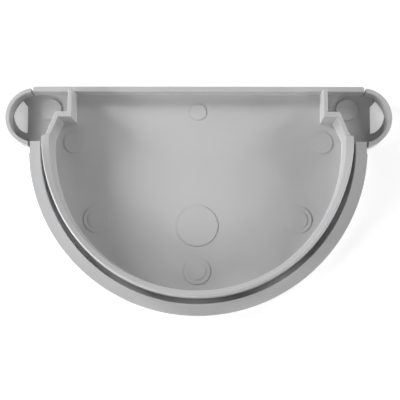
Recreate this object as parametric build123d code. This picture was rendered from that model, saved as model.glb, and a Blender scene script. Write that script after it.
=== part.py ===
from build123d import *

import os
from math import cos, hypot, radians, sin, sqrt, tan

# Gutter end cap, moulded in one piece of rigid PVC.
# Units are millimetres. The cap lies on its flat outer face: z = 0 is that face, +Z points into the
# gutter, +Y is up as installed, and the origin is on the axis of the half round.

# The gutter that the cap closes
gutter_inner_radius = 60.1
gutter_wall = 1.4
bead_diameter = 19.2
bead_offset = 4.2
bead_height = 11.1

# Clearances between the cap and that gutter
spigot_clearance = 0.2
groove_clearance = 0.15
bead_clearance = 0.35

# End plate and the low rim round it
plate_thickness = 2.5
rim_height = 4.8
rim_width = 4.65
rim_end_height = 1.5
top_height = 23.3
top_wall = 2.15
top_corner_radius = 1.4

# Spigot: the tall wall that follows the inside of the gutter and steps round its two edges. Its half round
# narrows towards the free end, where the wall is thinnest
spigot_length = 13.7
spigot_wall = 1.55
spigot_taper = 0.15
spigot_end_height = 2.3
step_width = 1.5
shelf_height = 11.4
shelf_width = 4.5
shelf_wall = 1.9
neck_inset = 10.3
neck_wall = 1.4
neck_lean = 0.9
lead_in = 1.5

# Ears: sockets for the gutter's bead, each closed by a strap that is notched to snap off
ear_wall = 1.75
notch_width = 0.9
top_notch_offset = 1.3

# Window in the floor of each ear: part of a round hole that lies off the bead's centre line
window_radius = 7.9
window_shift = 1.0
window_rise = 1.95
window_offset = 3.95
window_corner = 5.2
window_slant = 50.0

# Low round pads that the ejector pins leave on the inner face: one at the top, a row along the half round,
# the wide one over the gate and one in each ear
mark_height = 0.25
top_mark_radius = 3.2
top_mark_drop = 9.25
row_inset = 10.95
side_mark_radius = 4.2
side_mark_angle = 2.0
low_mark_radius = 5.1
low_mark_angle = -36.0
inner_mark_radius = 3.4
inner_mark_height = 0.15
gate_mark_radius = 7.9
gate_mark_drop = 31.3
ear_mark_radius = 4.2
ear_mark_inset = 5.2
ear_mark_rise = 4.15

# Edge finish
foot_radius = 0.2
edge_break = 0.2

# Sizes worked out from those above
spigot_radius = gutter_inner_radius - spigot_clearance
tip_radius = spigot_radius - spigot_taper
groove_radius = gutter_inner_radius + gutter_wall + groove_clearance
rim_radius = groove_radius + rim_width
rim_top = plate_thickness + rim_height
spigot_top = plate_thickness + spigot_length
top_inner = top_height - top_wall
neck_half_width = gutter_inner_radius - neck_inset
ear_x = gutter_inner_radius + bead_offset
ear_y = bead_height
ear_inner_radius = bead_diameter / 2 + bead_clearance
ear_radius = ear_inner_radius + ear_wall
top_notch_x = ear_x + top_notch_offset
cut_margin = 1.0
both_sides = (-1, 1)


def prism(face, low, high):
    """The face, drawn at z = 0, carried from one height to another."""
    return extrude(Pos(0, 0, low) * face, high - low, dir=(0, 0, 1))


def edges_at(solid, height):
    """The edges of a prism that lie wholly at one height."""
    return solid.edges().filter_by(Plane.XY).filter_by_position(Axis.Z, height - 1e-4, height + 1e-4)


def rim_prism(face):
    """A wall of the rim, from the plate up, with its upper edges broken."""
    wall = prism(face, plate_thickness, rim_top)
    return chamfer(edges_at(wall, rim_top), edge_break)


def box_face(x_low, x_high, y_low, y_high):
    """A rectangle given by its four sides."""
    centre = Pos((x_low + x_high) / 2, (y_low + y_high) / 2)
    return centre * Rectangle(x_high - x_low, y_high - y_low)


def below(height):
    """Everything within reach of the cap that lies under a height."""
    reach = rim_radius + cut_margin
    return box_face(-reach, reach, -reach, height)


def shoulder():
    """The two ends of the slanted shoulder: at the end of the shelf, and at the step over the half round."""
    shelf_end = (neck_half_width + shelf_width, shelf_height)
    step_corner = (sqrt(tip_radius**2 - spigot_end_height**2) - step_width, spigot_end_height)
    return shelf_end, step_corner


def mirrored(right):
    """A face from points down its right side and their mirror images up its left side."""
    left = [(-x, y) for x, y in reversed(right)]
    return make_face(Polyline(*right, *left, close=True))


def half_round():
    """The solid half round of the spigot, from the outer face up: a cone with a chamfered lead-in."""
    foot = prism(Circle(spigot_radius), 0, plate_thickness)
    cone = Cone(spigot_radius, tip_radius, spigot_length, align=(Align.CENTER, Align.CENTER, Align.MIN))
    cone = chamfer(cone.edges().sort_by(Axis.Z)[-1], lead_in)
    return (foot + Pos(0, 0, plate_thickness) * cone) & prism(below(spigot_end_height), 0, spigot_top)


def shoulders():
    """The solid upper part of the spigot: the necks, shelves and slanted shoulders, down to the steps."""
    neck = [(neck_half_width, top_inner), (neck_half_width, shelf_height)]
    solid = prism(mirrored([*neck, *shoulder()]), 0, spigot_top)
    return chamfer(edges_at(solid, spigot_top), edge_break)


def cavity_outline():
    """The inside of the spigot, where the shoulder runs straight on to the half round.

    Moving the slanted line in by the wall shifts it sideways by the wall times its length over its rise."""
    (upper_x, upper_y), (lower_x, lower_y) = shoulder()
    slope = (lower_x - upper_x) / (upper_y - lower_y)
    start_x = upper_x - spigot_wall * hypot(1, slope)
    radius = tip_radius - lead_in - spigot_wall
    neck_x = neck_half_width - neck_wall
    shelf_y = upper_y - shelf_wall
    right = [
        (neck_x, top_inner),
        (neck_x, shelf_y),
        (start_x + slope * shelf_wall, shelf_y),
        (start_x + slope * (upper_y + radius), -radius),
    ]
    return mirrored(right) & Circle(radius)


def spigot():
    """The tall wall, hollowed out down to the plate, with a rounded corner where it meets the plate."""
    cavity = prism(cavity_outline(), plate_thickness, spigot_top + cut_margin)
    cavity = fillet(edges_at(cavity, plate_thickness), foot_radius)
    return half_round() + shoulders() - cavity - neck_ends()


def neck_ends():
    """The wedge that leans the free ends of the neck walls back from the top wall."""
    slope = neck_lean / (spigot_top - rim_top)
    high = spigot_top + cut_margin
    corners = [
        (top_inner, rim_top),
        (top_inner - slope * (high - rim_top), high),
        (top_height, high),
        (top_height, rim_top),
    ]
    side = Plane.YZ * make_face(Polyline(*corners, close=True))
    return extrude(side, neck_half_width + cut_margin, both=True)


def ear_disc(side, radius):
    """A disc about the centre line of the bead in one ear."""
    return Pos(side * ear_x, ear_y) * Circle(radius)


def ear_window(side):
    """The opening in an ear's floor: part of a round hole, straight on its inner side and slanted above."""
    edge = ear_x + window_offset
    far = ear_x + ear_radius
    corner = ear_y + window_corner
    far_corner = corner + (far - edge) * tan(radians(window_slant))
    low = ear_y - ear_radius
    corners = [(edge, low), (far, low), (far, far_corner), (edge, corner)]
    part = make_face(Polyline(*[(side * x, y) for x, y in corners], close=True))
    hole = Pos(side * (ear_x + window_shift), ear_y + window_rise) * Circle(window_radius)
    return part & hole & ear_disc(side, ear_inner_radius)


def top_face():
    """The straight upper part of the outline, between the two ears, with rounded upper corners."""
    upper = box_face(-top_notch_x, top_notch_x, 0, top_height)
    return fillet(upper.vertices().group_by(Axis.Y)[-1], top_corner_radius)


def slab(face):
    """A part of the plate, with the edge of its outer face broken."""
    solid = prism(face, 0, plate_thickness)
    return chamfer(edges_at(solid, 0), edge_break)


def plate():
    """The flat plate: a half disc, the straight upper part and an ear with its window at each side."""
    solid = slab(Circle(rim_radius) & below(rim_end_height))
    solid += slab(top_face())
    for side in both_sides:
        solid += slab(ear_disc(side, ear_radius))
        solid -= prism(ear_window(side), -cut_margin, plate_thickness + cut_margin)
    return solid


def rim_band():
    """The half ring outside the groove that the gutter's end sits in."""
    ring = Circle(rim_radius) - Circle(groove_radius)
    return rim_prism(ring & below(rim_end_height))


def top_rail():
    """The straight wall along the top edge."""
    rail = top_face() - box_face(-top_notch_x, top_notch_x, 0, top_inner)
    return rim_prism(rail)


def ear_strap(side):
    """The strap round the outside of one ear."""
    ring = ear_disc(side, ear_radius) - ear_disc(side, ear_inner_radius)
    outer = sorted((side * ear_x, side * (ear_x + ear_radius + cut_margin)))
    half = box_face(*outer, ear_y - ear_radius, ear_y + ear_radius)
    return rim_prism(ring & half)


def strap_notches(side):
    """The two slits across the wall, down to the floor, where the strap snaps off."""
    spots = [(top_notch_x, top_height), (rim_radius, ear_y - ear_radius)]
    slit = Rectangle(notch_width, 2 * (ear_wall + cut_margin))
    slits = [Pos(side * x, y) * slit for x, y in spots]
    return [prism(face, plate_thickness, rim_top + cut_margin) for face in slits]


def pin_mark(x, y, radius, height):
    """One round pad, from the middle of the plate to a height over its inner face."""
    return prism(Pos(x, y) * Circle(radius), plate_thickness / 2, plate_thickness + height)


def pin_marks():
    """All the pads, on the inner face and on the floor of each ear. The low ones are stepped."""
    row_radius = spigot_radius - row_inset
    marks = [
        pin_mark(0, top_height - top_mark_drop, top_mark_radius, mark_height),
        pin_mark(0, -gate_mark_drop, gate_mark_radius, mark_height),
    ]
    for angle in (low_mark_angle, -90, -180 - low_mark_angle):
        x = row_radius * cos(radians(angle))
        y = row_radius * sin(radians(angle))
        marks.append(pin_mark(x, y, low_mark_radius, mark_height))
        marks.append(pin_mark(x, y, inner_mark_radius, mark_height + inner_mark_height))
    side_x = row_radius * cos(radians(side_mark_angle))
    side_y = row_radius * sin(radians(side_mark_angle))
    ear_mark_x = ear_x - ear_mark_inset
    ear_mark_y = ear_y + ear_mark_rise
    for side in both_sides:
        marks.append(pin_mark(side * side_x, side_y, side_mark_radius, mark_height))
        marks.append(pin_mark(side * ear_mark_x, ear_mark_y, ear_mark_radius, mark_height))
    return marks


def end_cap():
    """The whole cap."""
    cap = plate()
    cap += rim_band()
    cap += top_rail()
    for side in both_sides:
        cap += ear_strap(side)
    cap += spigot()
    for side in both_sides:
        for slit in strap_notches(side):
            cap -= slit
    for mark in pin_marks():
        cap += mark
    return cap


os.makedirs("parts", exist_ok=True)
cap = end_cap()
cap.label = "end_cap"
export_step(cap, "parts/end_cap.step")
print("end_cap", cap.is_valid, len(cap.solids()), round(cap.volume), cap.bounding_box())
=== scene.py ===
import math

import bmesh
import bpy
import numpy as np
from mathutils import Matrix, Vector


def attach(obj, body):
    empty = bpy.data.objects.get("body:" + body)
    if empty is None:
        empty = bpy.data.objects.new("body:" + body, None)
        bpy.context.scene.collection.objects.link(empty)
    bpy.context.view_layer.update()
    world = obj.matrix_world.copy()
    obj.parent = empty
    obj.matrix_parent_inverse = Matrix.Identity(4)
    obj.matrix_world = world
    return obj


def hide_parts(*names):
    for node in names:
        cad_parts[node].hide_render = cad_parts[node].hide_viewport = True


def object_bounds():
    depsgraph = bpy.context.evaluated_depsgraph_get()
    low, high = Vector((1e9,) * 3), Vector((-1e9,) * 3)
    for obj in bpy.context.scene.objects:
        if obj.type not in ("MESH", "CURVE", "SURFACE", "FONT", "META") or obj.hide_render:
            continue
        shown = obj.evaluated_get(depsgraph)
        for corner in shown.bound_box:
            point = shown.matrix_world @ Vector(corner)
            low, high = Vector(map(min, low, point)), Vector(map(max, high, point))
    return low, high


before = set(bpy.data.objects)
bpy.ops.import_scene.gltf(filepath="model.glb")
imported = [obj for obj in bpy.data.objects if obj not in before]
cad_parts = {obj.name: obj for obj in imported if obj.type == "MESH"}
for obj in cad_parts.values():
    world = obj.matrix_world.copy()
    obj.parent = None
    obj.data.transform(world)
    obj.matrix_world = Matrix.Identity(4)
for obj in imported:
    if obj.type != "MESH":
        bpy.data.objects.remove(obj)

# Gutter end cap: one moulding of light grey rigid PVC that lies on its flat outer face, seen from above.

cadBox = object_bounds()
scene = bpy.context.scene
mm = 0.001
hair = 0.05 * mm         # slack when points of the solid are picked by their place


def linearColour(hexText, alpha=1.0):
    # sRGB hex to linear: divide by 12.92 near black, else ((c + 0.055) / 1.055) ** 2.4
    srgb = np.array([int(hexText[i:i + 2], 16) for i in (1, 3, 5)]) / 255
    linear = np.where(srgb <= 0.04045, srgb / 12.92, ((srgb + 0.055) / 1.055) ** 2.4)
    return (*linear.tolist(), alpha)


def addNode(tree, kind, links=None, **settings):
    # one node: plain settings are attributes, links maps an input's name or number to a value or an output
    node = tree.nodes.new(kind)
    for name, value in settings.items():
        setattr(node, name, value)
    for name, value in (links or {}).items():
        socket = node.inputs[name]
        if isinstance(value, bpy.types.NodeSocket):
            tree.links.new(value, socket)
        else:
            socket.default_value = value
    return node


def emptyMaterial(name):
    material = bpy.data.materials.new(name)
    material.use_nodes = True
    material.node_tree.nodes.clear()
    return material, material.node_tree


# Rigid PVC, injection moulded in a finely spark-eroded mould: an even light grey with a satin sheen, a fine grain
# that breaks up the highlights, and soft clouds where the melt flowed out from the gate
pvc = {
    "colour": "#B8B8B9",
    "cloudColour": "#B1B1B2",
    "cloudSize": 14 * mm,
    "cloudDetail": 3.0,
    "cloudRoughness": 0.5,
    "roughness": 0.46,
    "roughnessSpread": 0.08,
    "ior": 1.53,
    "grainSize": 0.45 * mm,     # coarser than the real grain, so that it shows
    "grainDepth": 0.012 * mm,
    "grainDetail": 2.0,
    "grainRoughness": 0.6,
}


def mouldedPvc():
    material, tree = emptyMaterial("mouldedSatinPvc")
    place = addNode(tree, "ShaderNodeTexCoord").outputs["Object"]
    clouds = addNode(tree, "ShaderNodeTexNoise", {
        "Vector": place, "Scale": 1 / pvc["cloudSize"],
        "Detail": pvc["cloudDetail"], "Roughness": pvc["cloudRoughness"]})
    # inputs 0, 6 and 7 of a colour mix are its share and its two colours, and output 2 is the mix
    colour = addNode(tree, "ShaderNodeMix", {
        0: clouds.outputs["Fac"], 6: linearColour(pvc["colour"]), 7: linearColour(pvc["cloudColour"])},
        data_type="RGBA")
    grain = addNode(tree, "ShaderNodeTexNoise", {
        "Vector": place, "Scale": 1 / pvc["grainSize"],
        "Detail": pvc["grainDetail"], "Roughness": pvc["grainRoughness"]})
    rough = addNode(tree, "ShaderNodeMapRange", {
        "Value": grain.outputs["Fac"],
        "To Min": pvc["roughness"] - pvc["roughnessSpread"],
        "To Max": pvc["roughness"] + pvc["roughnessSpread"]})
    bump = addNode(tree, "ShaderNodeBump", {"Height": grain.outputs["Fac"], "Distance": pvc["grainDepth"]})
    shader = addNode(tree, "ShaderNodeBsdfPrincipled", {
        "Base Color": colour.outputs[2], "Roughness": rough.outputs[0], "IOR": pvc["ior"],
        "Normal": bump.outputs[0]})
    addNode(tree, "ShaderNodeOutputMaterial", {"Surface": shader.outputs[0]})
    return material


# The moulded cap stands for its solid and is made from the solid's mesh, with three places eased as on the real
# moulding: the lip of the half round, the windows and the floors of the ears.

# Lip: the free edge is rounded outside and slopes down inside, and away from the two steps the wall leans in more
lip = {
    "footRadius": 59.9 * mm,        # from here to stepHeight, as on the solid
    "footHeight": 2.5 * mm,
    "low": 14.7 * mm,               # where the chamfer starts
    "top": 16.2 * mm,
    "solidEdge": 58.25 * mm,        # radius where the chamfer ends
    "innerRadius": 56.7 * mm,
    "stepHeight": 2.3 * mm,
    "edge": 58.35 * mm,             # new radius of the free edge, lowest down and at the steps
    "edgeAtStep": 59.4 * mm,
    "outer": 59.05 * mm,            # new radius of the wall at its top, were it not rounded
    "outerAtStep": 59.7 * mm,
    "easing": 26 * mm,              # how far below the step the lean is full
    "innerDrop": 0.6 * mm,          # how far the edge slopes down to the inside
    "innerEasing": 8 * mm,
    "stepDepth": 0.25 * mm,         # stretch in which the lip comes out to its full width
    "rings": 6,
}


def smoothStep(share):
    # from 0 to 1 with level ends: s * s * (3 - 2 s)
    share = np.clip(share, 0.0, 1.0)
    return share * share * (3 - 2 * share)


def lipRadius(y, z):
    # a straight wall that ends in a quarter of an ellipse: edge + (wall - edge) * sqrt(1 - share ** 2)
    lean = smoothStep((lip["stepHeight"] - y) / lip["easing"])
    edge = lip["edgeAtStep"] + (lip["edge"] - lip["edgeAtStep"]) * lean
    outer = lip["outerAtStep"] + (lip["outer"] - lip["outerAtStep"]) * lean
    rise = (z - lip["footHeight"]) / (lip["top"] - lip["footHeight"])
    wall = lip["footRadius"] + (outer - lip["footRadius"]) * rise
    share = np.clip((z - lip["low"]) / (lip["top"] - lip["low"]), 0.0, 1.0)
    return edge + (wall - edge) * np.sqrt(1 - share ** 2)


def onLip(points):
    # the outside of the half round, from the plate up to the inner end of the chamfer
    x, y, z = points.T
    radius = np.hypot(x, y)
    inBand = (radius > lip["solidEdge"] - hair) & (radius < lip["footRadius"] + hair)
    return inBand & (y < lip["stepHeight"] + hair) & (z > lip["footHeight"] + hair)


def easeLip(points):
    # outside, each point moves along its radius to lipRadius; on the inner edge it moves down
    x, y, z = points.T
    radius = np.hypot(x, y)
    below = lip["stepHeight"] - y
    moved = points.copy()
    inner = (radius < lip["innerRadius"] + hair) & (z > lip["top"] - hair) & (below > 0)
    moved[inner, 2] -= lip["innerDrop"] * smoothStep(below[inner] / lip["innerEasing"])
    outer = onLip(points) & (below > lip["stepDepth"] / 2)
    moved[outer, :2] *= (lipRadius(y[outer], z[outer]) / radius[outer])[:, None]
    return moved


# Window in each ear: its round edge lies a little nearer to the strap than on the solid
window = {
    "centre": np.array((65.3, 13.05)) * mm,
    "radius": 7.9 * mm,
    "newCentre": np.array((65.7, 13.4)) * mm,
    "newRadius": 8.3 * mm,
    "innerEdge": 68.25 * mm,        # x of the straight edge
    "earCentre": np.array((64.3, 11.1)) * mm,
    "reach": 9.9 * mm,              # how far from earCentre the edge may go, inside the strap
    "floor": 2.5 * mm,
}


def easeWindow(points):
    # from the old circle to the new one along the same direction, and back to the reach where it is past that
    side = np.sign(points[:, 0])
    spots = np.column_stack((np.abs(points[:, 0]), points[:, 1]))
    arms = spots - window["centre"]
    onEdge = np.abs(np.hypot(*arms.T) - window["radius"]) < hair
    onEdge &= (points[:, 2] < window["floor"] + hair) & (spots[:, 0] > window["innerEdge"] + hair)
    reaches = window["newCentre"] + arms[onEdge] * (window["newRadius"] / window["radius"]) - window["earCentre"]
    shares = np.minimum(1, window["reach"] / np.hypot(*reaches.T))
    targets = window["earCentre"] + reaches * shares[:, None]
    moved = points.copy()
    moved[onEdge, 0] = side[onEdge] * targets[:, 0]
    moved[onEdge, 1] = targets[:, 1]
    return moved


# Floor of each ear: it lies deeper than the plate, so that the strap shades it, and its pad stands higher
earFloor = {
    "level": 2.5 * mm,              # from here to step, as on the solid
    "pad": 0.25 * mm,
    "lowest": 1.5 * mm,             # y of the rim's end
    "neck": 49.8 * mm,
    "shelf": (54.3 * mm, 11.4 * mm),        # outer end of the shelf
    "step": (58.2 * mm, 2.3 * mm),          # lower end of the shoulder
    "drop": 1.5 * mm,
    "padDrop": 1.15 * mm,
}


def easeEar(points):
    # the floor outside the spigot goes down: outside the neck above the shelf, outside the slanted shoulder below
    (shelfX, shelfY), (stepX, stepY) = earFloor["shelf"], earFloor["step"]
    x, y, z = np.abs(points[:, 0]), points[:, 1], points[:, 2]
    shoulder = shelfX + (stepX - shelfX) * (shelfY - y) / (shelfY - stepY)
    inner = np.where(y < shelfY - hair, shoulder, earFloor["neck"])
    inEar = (x > inner - hair) & (y > earFloor["lowest"] - hair)
    height = z - earFloor["level"]
    moved = points.copy()
    moved[inEar & (np.abs(height) < hair), 2] -= earFloor["drop"]
    moved[inEar & (np.abs(height - earFloor["pad"]) < hair), 2] -= earFloor["padDrop"]
    return moved


skin = {
    "weldGap": 0.001 * mm,
    "chamferSlant": (0.3, 0.95),    # least and most upward part of a chamfer face's normal
    "sharpAngle": 25,               # degrees
}


def cornersOf(face):
    return np.array([vert.co for vert in face.verts])


def cutAcross(shape, faces, spot, direction):
    # cuts these faces along a plane, and gives their pieces
    parts = dict.fromkeys(faces)
    for face in faces:
        parts.update(dict.fromkeys([*face.edges, *face.verts]))
    cut = bmesh.ops.bisect_plane(shape, geom=list(parts), plane_co=spot, plane_no=direction)
    return [part for part in cut["geom"] if isinstance(part, bmesh.types.BMFace)]


def easedCap(solid):
    # weld the solid's triangles, cut rings into the chamfer and a line below the steps, then move the points
    shape = bmesh.new()
    shape.from_mesh(solid.data)
    bmesh.ops.remove_doubles(shape, verts=shape.verts, dist=skin["weldGap"])
    shape.normal_update()
    least, most = skin["chamferSlant"]
    chamfer = [f for f in shape.faces if least < f.normal.z < most and onLip(cornersOf(f)).all()]
    turns = np.pi / 2 * np.arange(1, lip["rings"]) / lip["rings"]
    for height in lip["low"] + (lip["top"] - lip["low"]) * np.sin(turns):
        chamfer = cutAcross(shape, chamfer, (0, 0, height), (0, 0, 1))
    standing = [f for f in shape.faces if (cornersOf(f)[:, 2] > lip["footHeight"] - hair).all()]
    cutAcross(shape, standing, (0, lip["stepHeight"] - lip["stepDepth"], 0), (0, 1, 0))
    mesh = bpy.data.meshes.new("mouldedCap")
    shape.to_mesh(mesh)
    shape.free()

    flat = np.empty(3 * len(mesh.vertices), dtype=np.float32)
    mesh.vertices.foreach_get("co", flat)
    points = flat.reshape(-1, 3).astype(float)
    for ease in (easeWindow, easeEar, easeLip):
        points = ease(points)
    mesh.vertices.foreach_set("co", points.astype(np.float32).ravel())
    mesh.update()

    mesh.attributes.remove(mesh.attributes["custom_normal"])     # the solid's own normals no longer fit
    mesh.shade_smooth()
    mesh.set_sharp_from_angle(angle=math.radians(skin["sharpAngle"]))
    piece = bpy.data.objects.new("mouldedCap", mesh)
    scene.collection.objects.link(piece)
    return piece


cap = easedCap(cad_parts["end_cap"])
cap.data.materials.append(mouldedPvc())
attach(cap, "root")
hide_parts("end_cap")
print("cap: eased lip, windows and ears, satin PVC,", len(cap.data.polygons), "faces")

# Pale table, white to the eye: its own diffuse white plus a lift for what the camera or a reflection sees
table = {"width": 0.7, "drop": 0.05 * mm, "colour": "#F2F2F2", "lift": 0.36}


def seenDirectly(tree):
    # 1 for what the camera sees, itself or by way of gloss or glass, and 0 for what lights the object
    seen = addNode(tree, "ShaderNodeLightPath").outputs
    some = addNode(tree, "ShaderNodeMath", {0: seen["Is Camera Ray"], 1: seen["Is Glossy Ray"]},
                   operation="MAXIMUM")
    every = addNode(tree, "ShaderNodeMath", {0: some.outputs[0], 1: seen["Is Transmission Ray"]},
                    operation="MAXIMUM")
    return every.outputs[0]


def paleTable():
    material, tree = emptyMaterial("whiteTable")
    level = addNode(tree, "ShaderNodeMath", {0: seenDirectly(tree), 1: table["lift"]}, operation="MULTIPLY")
    diffuse = addNode(tree, "ShaderNodeBsdfDiffuse", {"Color": linearColour(table["colour"])})
    lift = addNode(tree, "ShaderNodeEmission", {"Strength": level.outputs[0]})
    both = addNode(tree, "ShaderNodeAddShader", {0: diffuse.outputs[0], 1: lift.outputs[0]})
    addNode(tree, "ShaderNodeOutputMaterial", {"Surface": both.outputs[0]})
    return material


half = table["width"] / 2
low = cadBox[0].z - table["drop"]
corners = [(-half, -half, low), (half, -half, low), (half, half, low), (-half, half, low)]
topMesh = bpy.data.meshes.new("table")
topMesh.from_pydata(corners, [], [(0, 1, 2, 3)])
topMesh.materials.append(paleTable())
tableTop = bpy.data.objects.new("table", topMesh)
scene.collection.objects.link(tableTop)
print("stage: table")

# Soft studio light: softboxes all round, most of them on the left, low enough for the walls to shade the plate.
# Each is azimuth, elevation and level, where level is what a white table would show under that lamp alone
lamps = {
    "leftBox": (180, 25, 0.130),
    "leftFrontBox": (210, 22, 0.165),
    "leftBackBox": (150, 20, 0.245),
    "leftHighBox": (165, 44, 0.030),
    "backBox": (95, 36, 0.030),
    "frontBox": (245, 25, 0.075),
    "rightBox": (0, 20, 0.100),
    "rightBackBox": (35, 20, 0.135),
    "rightFrontBox": (305, 24, 0.080),
    "rightHighBox": (305, 48, 0.050),
}
studio = {
    "distance": 0.50,
    "boxSize": 0.13,
    "aim": Vector((0.0, -0.02, 0.01)),      # middle of the cap
    "room": "#FFFFFF",
}


def softbox(name, azimuth, elevation, level):
    # power = level * pi^2 * distance^2 / sin(elevation)
    turn, lift = math.radians(azimuth), math.radians(elevation)
    towards = Vector((math.cos(turn) * math.cos(lift), math.sin(turn) * math.cos(lift), math.sin(lift)))
    light = bpy.data.lights.new(name, "AREA")
    light.shape = "SQUARE"
    light.size = studio["boxSize"]
    light.energy = level * math.pi ** 2 * studio["distance"] ** 2 / math.sin(lift)
    lamp = bpy.data.objects.new(name, light)
    lamp.location = studio["aim"] + towards * studio["distance"]
    lamp.rotation_euler = towards.to_track_quat("Z", "Y").to_euler()
    lamp.visible_camera = False
    scene.collection.objects.link(lamp)


for name, settings in lamps.items():
    softbox(name, *settings)

# White room: seen by the camera and in reflections, but it gives the object no light of its own
world = bpy.data.worlds.new("paleRoom")
world.use_nodes = True
world.node_tree.nodes.clear()
air = addNode(world.node_tree, "ShaderNodeBackground", {
    "Color": linearColour(studio["room"]), "Strength": seenDirectly(world.node_tree)})
addNode(world.node_tree, "ShaderNodeOutputWorld", {"Surface": air.outputs[0]})
scene.world = world
print("light: softboxes and room")

# The camera looks almost straight down, as over a table
view = {
    "spot": (8.369 * mm, -60.254 * mm, 355.411 * mm),
    "turn": (0.1106, 0.0203, 0.0062),       # radians about x, y and z
    "lens": 81.27,
    "sensor": 36.0,
}
lens = bpy.data.cameras.new("camera")
lens.lens = view["lens"]
lens.sensor_width = view["sensor"]
camera = bpy.data.objects.new("camera", lens)
camera.location = view["spot"]
camera.rotation_euler = view["turn"]
scene.collection.objects.link(camera)
scene.camera = camera

scene.view_settings.view_transform = "Standard"
print("camera: set")
